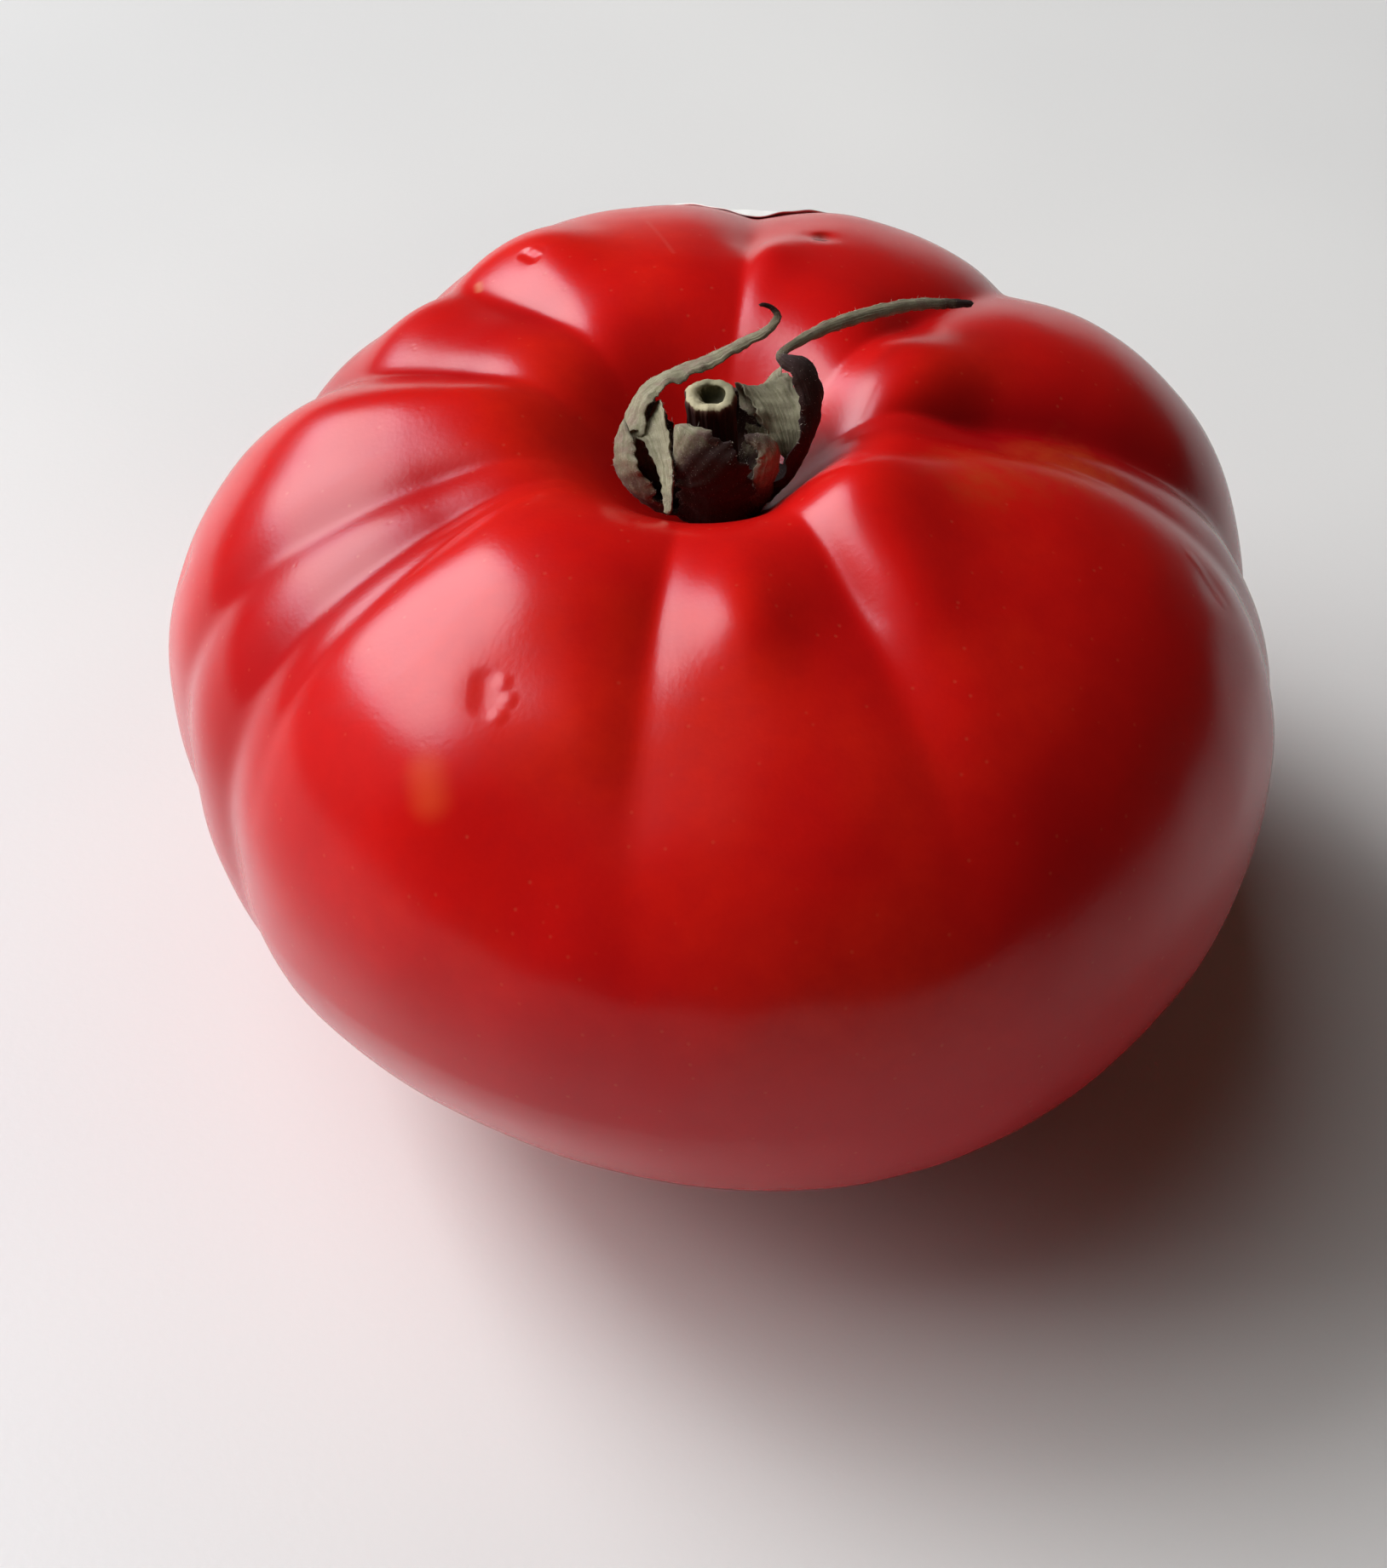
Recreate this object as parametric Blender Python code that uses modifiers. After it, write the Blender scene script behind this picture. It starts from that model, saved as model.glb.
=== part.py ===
"""A ripe, ribbed beefsteak tomato as picked, resting on its blossom end.

Metres, +Z up. The origin is the middle of the small flat spot that the fruit rests on. Azimuth is
measured round +Z from +X, polar angle down from the stem end. -Y is the side the stem cavity leans to.
Four pieces: the fruit, the dried calyx with its curled sepals, the stub of the stalk, and a blank
oval produce sticker over one furrow at the back.
"""

import math

import bmesh
import bpy
import numpy as np
from mathutils import Vector

MM = 0.001
GAP = 0.3 * MM  # air left between pieces that touch

# Fruit: a flattened, lobed globe with a sunken stem end.
HALF_WIDTH = 52.5 * MM
WIDEST_HEIGHT = 37.0 * MM
SHOULDER_RISE = 32.6 * MM
SHOULDER_ROUND = (0.78, 0.79)  # powers on sine and cosine: under 1 is squarer than an ellipse
BASE_ROUND = (0.90, 1.07)
FLAT_SPOT_LIFT = 0.6 * MM  # how much of the lowest skin is pressed flat by its own weight
PLAN_WAVES = ((2, 0.020, 65.5), (3, 0.011, 69.0), (4, 0.012, 14.0))  # waves round, share, azimuth
PLAN_STRETCH = 1.05  # along Y
STEM_SHIFT = Vector((-3.4 * MM, -6.0 * MM))  # the stem end sits off the middle of the plan
CAVITY_DEPTH = 12.6 * MM
CAVITY_RADIUS = 11.7 * MM
CAVITY_POWER = 2.3
CAVITY_LEAN = (0.18, 125.0)  # share by which the cavity is wider, and the azimuth where it is
SEGMENTS = 104
RINGS = 40
ROW_CROWDING = 0.6  # rows of the globe draw together towards the stem end

# Furrows: azimuth at polar angle 55, drift per 50 degrees further down, depth mm,
# half width in degrees of azimuth, and the polar angle where it has faded out.
FURROWS = (
    (6.8, -1.8, 4.4, 11.0, 92.0),
    (49.5, 9.0, 3.4, 10.5, 95.0),
    (86.5, 2.0, 2.3, 11.0, 110.0),
    (137.0, 4.6, 3.0, 12.0, 110.0),
    (158.5, -2.0, 3.0, 12.0, 100.0),
    (197.5, 2.8, 2.6, 11.0, 115.0),
    (209.0, 5.0, 2.4, 9.5, 105.0),
    (216.0, 5.5, 0.9, 5.0, 60.0),
    (260.5, 4.2, 2.8, 12.0, 54.0),
    (290.8, -3.8, 2.2, 11.0, 46.0),
    (354.5, -6.0, 1.2, 7.0, 100.0),
)
FURROW_START = (4.0, 26.0)  # polar angles over which a furrow gains its depth
FURROW_FADE = 25.0
CREASE_SOFTNESS = 0.25  # share of the half width over which the crease itself is rounded

# Swells of the shoulders between furrows: azimuth, polar angle, height mm, half widths in degrees.
SWELLS = (
    (236.0, 19.0, 1.0, 17.0, 10.0),
    (276.0, 16.0, 0.5, 10.0, 8.0),
    (330.0, 18.0, 1.4, 24.0, 11.0),
    (32.0, 20.0, 0.8, 12.0, 10.0),
)

# Stalk stub: radius mm and height mm above the floor of the cavity, from the pith of the cut face
# down the outside to the foot.
STUB_PROFILE = (
    (0.0, 12.6),
    (0.7, 12.7),
    (1.1, 13.3),
    (1.8, 13.5),
    (2.1, 13.1),
    (2.0, 11.4),
    (2.1, 7.0),
    (2.4, 4.4),
    (2.7, 2.8),
    (2.4, 1.4),
    (1.6, 0.8),
    (0.0, 0.5),
)
STUB_LEAN = (2.0, -3.0)  # degrees about X and Y

# Calyx: a cupped ring round the stub, which the sepals grow out of.
RING_SECTION = ((3.1, 1.3), (4.2, 2.4), (4.2, 3.3), (3.1, 2.2))  # radius mm, height mm
BLADE_THICKNESS = 0.62 * MM
BLADE_STATIONS = 15
BLADE_COLUMNS = 5
BLADE_CURL = 0.35  # how far the edges lift towards the inner face, as a share of the half width

# Each sepal's midrib from root to tip: azimuth, radius mm, height mm, half width mm, turn.
# Turn rolls the blade about its midrib from facing the stalk.
SEPALS = (
    # Long one on the left, which arches over the stalk to the back
    (
        (184, 3.6, 2.2, 1.7, 0),
        (192, 6.8, 4.4, 2.2, 0),
        (192, 8.2, 7.4, 2.2, 0),
        (184, 7.6, 10.6, 2.0, 0),
        (168, 6.1, 12.7, 1.6, 0),
        (138, 4.4, 13.5, 1.2, 10),
        (92, 4.1, 13.9, 0.8, 20),
        (63, 5.7, 14.5, 0.5, 30),
        (52, 7.7, 15.2, 0.4, 40),
        (47, 8.4, 16.5, 0.35, 40),
        (54, 7.5, 17.8, 0.3, 40),
    ),
    # Short one between the two on the left, seen from outside
    (
        (212, 3.6, 2.2, 1.8, 0),
        (212, 7.2, 4.4, 2.4, 0),
        (211, 8.9, 7.4, 2.2, 0),
        (208, 8.7, 9.8, 1.5, 0),
        (202, 7.7, 11.2, 0.5, 0),
    ),
    # Left front, folded outward at the top so that its tip hangs over the shoulder
    (
        (233, 3.6, 2.2, 1.4, 0),
        (234, 6.0, 5.4, 1.5, 0),
        (235, 6.6, 9.8, 1.4, 0),
        (234, 7.0, 13.8, 1.7, 0),
        (237, 8.4, 14.8, 1.5, 0),
        (242, 9.5, 12.8, 1.1, 0),
        (246, 10.1, 10.5, 0.8, 0),
        (249, 10.4, 8.7, 0.35, 0),
    ),
    # Broad dark one in front
    (
        (265, 3.6, 2.2, 2.0, 0),
        (266, 6.1, 4.4, 2.9, 0),
        (266, 7.4, 7.5, 3.3, 0),
        (264, 7.9, 10.7, 3.0, 0),
        (261, 7.3, 12.9, 2.1, 0),
        (257, 6.2, 13.7, 1.1, 0),
        (253, 5.4, 13.0, 0.4, 0),
    ),
    # Narrow one at the front right
    (
        (300, 3.6, 2.2, 1.5, 0),
        (301, 5.9, 4.9, 1.8, 0),
        (304, 6.6, 7.8, 1.5, 0),
        (309, 6.6, 10.0, 1.1, 0),
        (318, 6.5, 11.3, 0.4, 0),
    ),
    # Long one on the right, pinched and doubled back, its tip lying towards the back right shoulder
    (
        (344, 3.6, 2.2, 1.7, 0),
        (346, 6.1, 5.4, 2.0, 0),
        (350, 7.9, 8.8, 1.8, 0),
        (357, 8.8, 11.2, 1.6, -20),
        (5, 8.4, 13.4, 1.4, -40),
        (14, 7.4, 14.8, 1.1, -50),
        (24, 6.5, 15.2, 0.8, -40),
        (34, 6.7, 14.7, 0.4, -20),
        (36, 8.9, 14.8, 0.4, 0),
        (37, 12.3, 14.7, 0.45, 0),
        (38, 17.0, 13.8, 0.5, 0),
        (38, 21.9, 12.6, 0.5, 0),
        (37, 26.3, 11.2, 0.45, 0),
        (36, 29.2, 10.3, 0.35, 0),
    ),
    # Broad pale one on the right, folded so that its inner face shows
    (
        (36, 3.6, 2.2, 1.7, 0),
        (30, 4.2, 4.6, 2.1, 20),
        (29, 4.9, 6.9, 2.4, 40),
        (31, 5.6, 9.0, 2.3, 48),
        (34, 6.2, 10.6, 1.7, 48),
        (34, 6.3, 11.7, 0.6, 48),
    ),
    # Two short ones at the back
    (
        (92, 3.6, 2.2, 1.7, 0),
        (94, 5.7, 5.2, 1.9, 0),
        (92, 6.2, 7.4, 1.6, 0),
        (88, 5.8, 8.8, 1.0, 0),
        (84, 5.2, 9.6, 0.4, 0),
    ),
    (
        (140, 3.6, 2.2, 1.6, 0),
        (140, 6.6, 4.6, 1.8, 0),
        (138, 8.2, 7.0, 1.3, 0),
        (134, 8.8, 8.6, 0.4, 0),
    ),
)

# Sticker: an oval film laid across the furrow at the back.
STICKER_AZIMUTH = 87.0
STICKER_POLAR = 66.0
STICKER_WIDTH = 19.0 * MM
STICKER_HEIGHT = 16.0 * MM
STICKER_THICKNESS = 0.6 * MM
STICKER_SINK = 0.45  # the film follows a furrow down to this share of its depth, then bridges it
STICKER_RINGS = 6
STICKER_SPOKES = 32


def ease(value, start, end):
    """0 before start, 1 after end, smooth between."""
    share = np.clip((value - start) / (end - start), 0.0, 1.0)
    return share * share * (3.0 - 2.0 * share)


def furrow_depth(azimuth, polar, deepest_share=1.0):
    """How far the furrows draw the skin in towards the middle of the fruit, less what the swells
    push it out, in metres. Angles in degrees; deepest_share is where the furrows are cut off."""
    total = np.zeros(np.broadcast(azimuth, polar).shape)
    gain = ease(polar, *FURROW_START)
    for middle, drift, depth, half_width, reach in FURROWS:
        line = middle + drift * (polar - 55.0) / 50.0
        away = ((azimuth - line + 180.0) % 360.0 - 180.0) / half_width
        rounded = np.sqrt(away**2 + CREASE_SOFTNESS**2) - CREASE_SOFTNESS
        fade = 1.0 - ease(polar, reach - FURROW_FADE, reach + FURROW_FADE)
        total = total + depth * MM * np.minimum(np.exp(-rounded), deepest_share) * gain * fade
    for middle, low, height, wide, deep in SWELLS:
        away = ((azimuth - middle + 180.0) % 360.0 - 180.0) / wide
        total = total - height * MM * np.exp(-(away**2) - ((polar - low) / deep) ** 2)
    return total


def fruit_points(azimuth, polar, deepest_share=1.0):
    """Points of the skin for arrays of azimuth and polar angle, in degrees."""
    turn, down = np.radians(azimuth), np.radians(polar)
    sine, cosine = np.maximum(np.sin(down), 0.0), np.cos(down)
    upper = cosine > 0.0
    radius = HALF_WIDTH * sine ** np.where(upper, SHOULDER_ROUND[0], BASE_ROUND[0])
    height = np.where(upper, SHOULDER_RISE, -WIDEST_HEIGHT)
    height = height * np.abs(cosine) ** np.where(upper, SHOULDER_ROUND[1], BASE_ROUND[1])
    wider = 1.0 + CAVITY_LEAN[0] * np.cos(turn - math.radians(CAVITY_LEAN[1]))
    height = height - upper * CAVITY_DEPTH * np.exp(-((radius / CAVITY_RADIUS / wider) ** CAVITY_POWER))
    plan = 1.0 + sum(share * np.cos(n * (turn - math.radians(at))) for n, share, at in PLAN_WAVES)
    lean = (1.0 + cosine) / 2.0
    point = np.stack(
        np.broadcast_arrays(
            STEM_SHIFT.x * lean + radius * plan * np.cos(turn),
            STEM_SHIFT.y * lean + radius * plan * PLAN_STRETCH * np.sin(turn),
            height,
        ),
        axis=-1,
    )
    reach = np.maximum(np.linalg.norm(point, axis=-1, keepdims=True), MM)
    point = point * (1.0 - furrow_depth(azimuth, polar, deepest_share)[..., None] / reach)
    point[..., 2] = np.maximum(point[..., 2] + WIDEST_HEIGHT - FLAT_SPOT_LIFT, 0.0)
    return point


STEM_FLOOR = Vector(fruit_points(np.array([0.0]), np.array([0.0]))[0])


def material(name, colour, roughness):
    made = bpy.data.materials.new(name)
    made.use_nodes = True
    shader = made.node_tree.nodes["Principled BSDF"]
    shader.inputs["Base Color"].default_value = (*colour, 1.0)
    shader.inputs["Roughness"].default_value = roughness
    shader.inputs["Metallic"].default_value = 0.0
    return made


def new_object(name, mesh, collection, finish=None):
    piece = bpy.data.objects.new(name, mesh)
    collection.objects.link(piece)
    if finish:
        mesh.materials.append(finish)
    return piece


def make_fruit(collection, finish):
    """A globe whose vertices are moved onto the skin."""
    shape = bmesh.new()
    bmesh.ops.create_uvsphere(shape, u_segments=SEGMENTS, v_segments=RINGS, radius=1.0)
    unit = np.array([vertex.co for vertex in shape.verts])
    down = np.arccos(np.clip(unit[:, 2], -1.0, 1.0))
    down = down - ROW_CROWDING * np.sin(down) * (1.0 + np.cos(down)) / 2.0
    azimuth = np.degrees(np.arctan2(unit[:, 1], unit[:, 0]))
    for vertex, place in zip(shape.verts, fruit_points(azimuth, np.degrees(down))):
        vertex.co = place
    mesh = bpy.data.meshes.new("fruit")
    shape.to_mesh(mesh)
    shape.free()
    mesh.shade_smooth()
    return new_object("fruit", mesh, collection, finish)


def turned(name, profile, closed, steps, collection, finish=None):
    """A profile of (radius, height) points turned about the stalk's axis."""
    shape = bmesh.new()
    points = [shape.verts.new((radius * MM, 0.0, height * MM)) for radius, height in profile]
    for first, second in zip(points, points[1:] + points[:1] if closed else points[1:]):
        shape.edges.new((first, second))
    mesh = bpy.data.meshes.new(name)
    shape.to_mesh(mesh)
    shape.free()
    piece = new_object(name, mesh, collection, finish)
    piece.location = STEM_FLOOR
    screw = piece.modifiers.new("turn", "SCREW")
    screw.steps = screw.render_steps = steps
    screw.use_merge_vertices = True
    screw.merge_threshold = 0.00001
    screw.use_normal_calculate = True
    return piece


def curve_through(rows, count):
    """Rows of numbers resampled on a smooth curve through them, evenly along its length."""
    rows = np.array(rows, float)
    before = np.vstack([2 * rows[0] - rows[1], rows, 2 * rows[-1] - rows[-2]])
    share = np.linspace(0.0, 1.0, 12, endpoint=False)[:, None]
    runs = []
    for a, b, c, d in zip(before, before[1:], before[2:], before[3:]):
        runs.append(
            0.5
            * (
                2 * b
                + (c - a) * share
                + (2 * a - 5 * b + 4 * c - d) * share**2
                + (3 * b - a - 3 * c + d) * share**3
            )
        )
    fine = np.vstack([*runs, rows[-1:]])
    along = np.append(0.0, np.cumsum(np.linalg.norm(np.diff(fine[:, :3], axis=0), axis=1)))
    even = np.linspace(0.0, along[-1], count)
    return np.column_stack([np.interp(even, along, column) for column in fine.T])


def sepal_surface(rows, stations, columns):
    """A grid of points: the midrib's frame carried along, and the width laid across it as a trough."""
    table = np.array(rows, float)
    turn = np.radians(table[:, 0])
    spine = np.column_stack(
        [table[:, 1] * np.cos(turn), table[:, 1] * np.sin(turn), table[:, 2], table[:, 3:]]
    )
    path = curve_through(spine, stations)
    middle, half_width, roll = path[:, :3], path[:, 3], np.radians(path[:, 4])
    ahead = np.gradient(middle, axis=0)
    ahead /= np.linalg.norm(ahead, axis=1, keepdims=True)
    across = np.zeros_like(ahead)
    across[0] = (-math.sin(turn[0]), math.cos(turn[0]), 0.0)
    for i in range(1, len(across)):
        across[i] = across[i - 1]
        across[i] -= ahead[i] * across[i].dot(ahead[i])
        across[i] /= np.linalg.norm(across[i])
    inner = np.cross(ahead, across)
    side = across * np.cos(roll)[:, None] + inner * np.sin(roll)[:, None]
    face = np.cross(ahead, side)
    share = np.linspace(-1.0, 1.0, columns)
    out = side[:, None] * (half_width[:, None] * share)[..., None]
    lift = face[:, None] * (BLADE_CURL * half_width[:, None] * share**2)[..., None]
    return (middle[:, None] + out + lift) * MM


def make_sepal(number, rows, collection):
    grid = sepal_surface(rows, BLADE_STATIONS if len(rows) < 9 else 2 * BLADE_STATIONS, BLADE_COLUMNS)
    shape = bmesh.new()
    points = [[shape.verts.new(place) for place in row] for row in grid]
    for near, far in zip(points, points[1:]):
        for a, b, c, d in zip(near, near[1:], far[1:], far):
            shape.faces.new((a, b, c, d))
    mesh = bpy.data.meshes.new(f"sepal_{number}")
    shape.to_mesh(mesh)
    shape.free()
    blade = new_object(mesh.name, mesh, collection)
    blade.location = STEM_FLOOR
    wall = blade.modifiers.new("thickness", "SOLIDIFY")
    wall.thickness = BLADE_THICKNESS
    wall.offset = 0.0
    return blade


def make_calyx(collection, finish):
    """The ring with every sepal's root fused into it."""
    calyx = turned("calyx", RING_SECTION, True, 24, collection, finish)
    loose = bpy.data.collections.new("loose_sepals")
    bpy.context.scene.collection.children.link(loose)
    for number, rows in enumerate(SEPALS):
        make_sepal(number, rows, loose)
    join = calyx.modifiers.new("sepals", "BOOLEAN")
    join.operation = "UNION"
    join.operand_type = "COLLECTION"
    join.collection = loose
    join.solver = "MANIFOLD"
    graph = bpy.context.evaluated_depsgraph_get()
    fused = bpy.data.meshes.new_from_object(calyx.evaluated_get(graph))
    calyx.modifiers.clear()
    calyx.data = fused
    for blade in list(loose.objects):
        bpy.data.objects.remove(blade)
    bpy.data.collections.remove(loose)
    return calyx


def make_stub(collection, finish):
    stub = turned("stem_stub", STUB_PROFILE, False, 24, collection, finish)
    stub.rotation_euler = [math.radians(angle) for angle in (*STUB_LEAN, 0.0)]
    return stub


def make_sticker(collection, finish):
    """An oval film, thickened outward, that follows the skin and bridges the furrow."""
    middle = fruit_points(np.array([STICKER_AZIMUTH]), np.array([STICKER_POLAR]))[0]
    per_azimuth = np.linalg.norm(middle[:2]) * math.radians(1.0)
    step = fruit_points(np.array([STICKER_AZIMUTH] * 2), STICKER_POLAR + np.array([-0.5, 0.5]))
    per_polar = np.linalg.norm(step[1] - step[0])
    shape = bmesh.new()
    rings = []
    for ring in range(1, STICKER_RINGS + 1):
        share = ring / STICKER_RINGS
        round_angle = np.linspace(0.0, 2.0 * math.pi, STICKER_SPOKES, endpoint=False)
        azimuth = STICKER_AZIMUTH + share * STICKER_WIDTH / 2 * np.cos(round_angle) / per_azimuth
        polar = STICKER_POLAR + share * STICKER_HEIGHT / 2 * np.sin(round_angle) / per_polar
        places = fruit_points(azimuth, polar, STICKER_SINK)
        rings.append([shape.verts.new(place) for place in places])
    centre = shape.verts.new(
        fruit_points(np.array([STICKER_AZIMUTH]), np.array([STICKER_POLAR]), STICKER_SINK)[0]
    )
    for a, b in zip(rings[0], rings[0][1:] + rings[0][:1]):
        shape.faces.new((centre, a, b))
    for inner, outer in zip(rings, rings[1:]):
        for i in range(STICKER_SPOKES):
            j = (i + 1) % STICKER_SPOKES
            shape.faces.new((inner[i], outer[i], outer[j], inner[j]))
    bmesh.ops.recalc_face_normals(shape, faces=shape.faces)
    shape.normal_update()
    if centre.normal.dot(centre.co - Vector((0.0, 0.0, WIDEST_HEIGHT))) < 0.0:
        bmesh.ops.reverse_faces(shape, faces=shape.faces)
        shape.normal_update()
    lifts = [vertex.co + vertex.normal * GAP for vertex in shape.verts]
    for vertex, place in zip(shape.verts, lifts):
        vertex.co = place
    mesh = bpy.data.meshes.new("sticker")
    shape.to_mesh(mesh)
    shape.free()
    sticker = new_object("sticker", mesh, collection, finish)
    film = sticker.modifiers.new("thickness", "SOLIDIFY")
    film.thickness = STICKER_THICKNESS
    film.offset = 1.0
    return sticker


def main():
    for old in list(bpy.data.objects):
        bpy.data.objects.remove(old)
    tomato = bpy.data.collections.new("beefsteak_tomato")
    bpy.context.scene.collection.children.link(tomato)
    make_fruit(tomato, material("ripe_skin", (0.50, 0.012, 0.010), 0.28))
    make_calyx(tomato, material("dried_sepal", (0.16, 0.16, 0.095), 0.85))
    make_stub(tomato, material("stalk", (0.055, 0.035, 0.018), 0.80))
    make_sticker(tomato, material("blank_film", (0.82, 0.82, 0.80), 0.35))


main()
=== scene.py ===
"""A ripe, ribbed beefsteak tomato on a pale table: its looks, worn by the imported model.

Metres, +Z up. The origin is the middle of the flat spot that the fruit rests on. Azimuth is measured
round +Z from +X, and polar angle down from the stem end, both in degrees.
"""

import math

import bpy
import numpy as np
from mathutils import Matrix, Vector


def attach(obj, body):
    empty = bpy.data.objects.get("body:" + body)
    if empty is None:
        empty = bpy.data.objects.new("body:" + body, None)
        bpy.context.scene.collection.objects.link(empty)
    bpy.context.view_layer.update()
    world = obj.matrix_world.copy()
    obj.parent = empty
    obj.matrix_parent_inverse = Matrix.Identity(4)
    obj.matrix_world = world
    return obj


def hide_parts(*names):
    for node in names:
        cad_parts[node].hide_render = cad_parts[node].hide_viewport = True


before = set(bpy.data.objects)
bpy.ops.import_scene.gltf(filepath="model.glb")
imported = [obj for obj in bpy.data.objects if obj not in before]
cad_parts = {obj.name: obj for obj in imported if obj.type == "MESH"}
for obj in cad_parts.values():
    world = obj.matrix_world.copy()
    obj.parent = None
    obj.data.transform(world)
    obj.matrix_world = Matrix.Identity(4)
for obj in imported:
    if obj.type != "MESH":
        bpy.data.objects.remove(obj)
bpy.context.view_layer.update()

# The fruit: one ripe tomato, grown in one piece. A flattened globe under a taut, waxy skin, drawn in
# along the furrows between its seed chambers, with a sunken stem end. It rests on its blossom end.
MM = 0.001
HALF_WIDTH, WIDEST_HEIGHT, SHOULDER_RISE = 52.5 * MM, 37.0 * MM, 32.6 * MM
SHOULDER_ROUND, BASE_ROUND = (0.78, 0.79), (0.90, 1.07)  # powers on sine and cosine
FLAT_SPOT_LIFT = 0.6 * MM
PLAN_WAVES = ((2, 0.020, 65.5), (3, 0.011, 69.0), (4, 0.012, 14.0))  # waves round, share, azimuth
PLAN_STRETCH = 1.05
STEM_SHIFT = (-3.4 * MM, -6.0 * MM)
CAVITY_DEPTH, CAVITY_RADIUS, CAVITY_POWER = 12.6 * MM, 11.7 * MM, 2.3
CAVITY_LEAN = (0.18, 125.0)
FURROW_MIDDLE, FURROW_DRIFT_OVER = 55.0, 50.0  # polar angles
FURROWS = (
    # azimuth at the middle, drift in azimuth, depth mm, half width, polar angle where half has faded
    (6.9, -1.8, 4.4, 10.9, 92.0),
    (49.7, 9.0, 3.4, 10.6, 95.0),
    (86.0, 2.0, 2.6, 8.9, 110.0),
    (136.4, 4.6, 2.9, 13.0, 110.0),
    (157.5, -2.0, 3.2, 12.3, 100.0),
    (195.5, 2.8, 2.4, 10.7, 115.0),
    (208.9, 5.0, 2.9, 11.0, 105.0),
    (215.5, 5.5, 0.5, 3.2, 60.0),
    (260.4, 4.2, 2.9, 11.8, 54.0),
    (293.4, -3.8, 3.4, 13.5, 46.0),
    (354.5, -6.0, 1.3, 8.5, 100.0),
)
FURROW_START, FURROW_FADE, CREASE_SOFTNESS = (4.0, 26.0), 25.0, 0.13
SWELLS = (
    # azimuth, polar, height mm, half widths in azimuth and polar
    (238.0, 22.0, 1.4, 30.0, 8.0),
    (236.0, 49.0, 0.9, 11.0, 11.0),
    (254.0, 36.0, 1.0, 9.0, 7.0),
    (276.0, 21.0, 1.3, 8.5, 6.5),
    (297.0, 39.0, 0.9, 17.0, 14.0),
    (306.0, 23.0, 1.6, 11.0, 8.0),
    (320.0, 12.5, 2.2, 19.0, 9.0),
    (324.0, 9.0, 0.9, 19.0, 4.6),
    (352.0, 15.5, -1.2, 13.0, 8.0),
    (24.0, 16.0, 0.9, 13.0, 7.0),
    (81.0, 23.0, 1.5, 7.5, 6.5),
    (121.0, 33.0, 1.6, 9.0, 9.0),
    (137.0, 41.0, 1.6, 18.0, 7.0),
    (170.0, 35.0, 1.1, 8.0, 18.0),
)
SKIN_COLUMNS, SKIN_ROWS = 392, 240
SCARS = (
    # start and end of a line (azimuth, polar), radius mm, height mm: healed pits and the lips beside them
    ((237.6, 35.8), (239.1, 38.4), 1.55, -0.075),
    ((239.9, 35.0), (240.0, 35.2), 1.00, 0.05),
    ((241.8, 36.7), (241.8, 36.9), 0.95, 0.06),
    ((241.7, 38.9), (241.6, 39.1), 1.00, 0.05),
    ((124.6, 33.4), (124.4, 31.4), 1.0, -0.12),
    ((123.2, 32.4), (123.2, 31.4), 0.8, 0.04),
    ((348.6, 51.0), (345.4, 57.4), 1.1, 0.04),
    ((184.6, 67.0), (182.6, 74.0), 1.3, -0.12),
    ((72.3, 30.6), (72.8, 32.0), 1.1, -0.12),
)
STAINS = (
    # start and end, radius mm, strength, colour
    ((237.0, 48.6), (238.6, 51.4), 2.6, 0.40, (0.80, 0.105, 0.028)),
    ((133.0, 38.0), (133.9, 37.2), 0.7, 0.40, (0.72, 0.33, 0.16)),
    ((72.2, 30.2), (73.0, 32.4), 1.3, 0.65, (0.10, 0.012, 0.008)),
    ((102.2, 34.7), (99.9, 23.0), 0.38, 0.20, (0.72, 0.12, 0.10)),
)
RIPPLES = ((26.0, 0.07), (13.0, 0.035), (7.0, 0.012))  # wavelength mm, height mm
RIPPLES_PER_LENGTH, BLEMISHED_ABOVE = 3, (1.0 * MM, 8.0 * MM)
DENTS = (
    # azimuth, polar, radius mm, depth mm
    (238.8, 37.0, 2.2, 0.12),
    (124.4, 32.4, 1.2, 0.15),
    (72.5, 30.9, 1.6, 0.25),
    (182.5, 69.5, 2.2, 0.30),
    (346.0, 55.5, 2.0, 0.25),
)


def ease(value, start, end):
    """0 before start, 1 after end, and s^2 x (3 - 2s) between, where s is the share of the way."""
    share = np.clip((value - start) / (end - start), 0.0, 1.0)
    return share * share * (3.0 - 2.0 * share)


def furrow_depth(azimuth, polar, deepest_share=1.0):
    """Sum over the furrows of depth x e^-(rounded distance from the furrow's line, in half widths),
    eased in at the stem end and out at its reach, less a bell of each swell's height."""
    total = np.zeros(np.broadcast(azimuth, polar).shape)
    gain = ease(polar, *FURROW_START)
    for middle, drift, depth, half_width, reach in FURROWS:
        line = middle + drift * (polar - FURROW_MIDDLE) / FURROW_DRIFT_OVER
        away = ((azimuth - line + 180.0) % 360.0 - 180.0) / half_width
        rounded = np.sqrt(away**2 + CREASE_SOFTNESS**2) - CREASE_SOFTNESS
        fade = 1.0 - ease(polar, reach - FURROW_FADE, reach + FURROW_FADE)
        total = total + depth * MM * np.minimum(np.exp(-rounded), deepest_share) * gain * fade
    for middle, low, height, wide, deep in SWELLS:
        away = ((azimuth - middle + 180.0) % 360.0 - 180.0) / wide
        total = total - height * MM * np.exp(-(away**2) - ((polar - low) / deep) ** 2)
    return total


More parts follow.
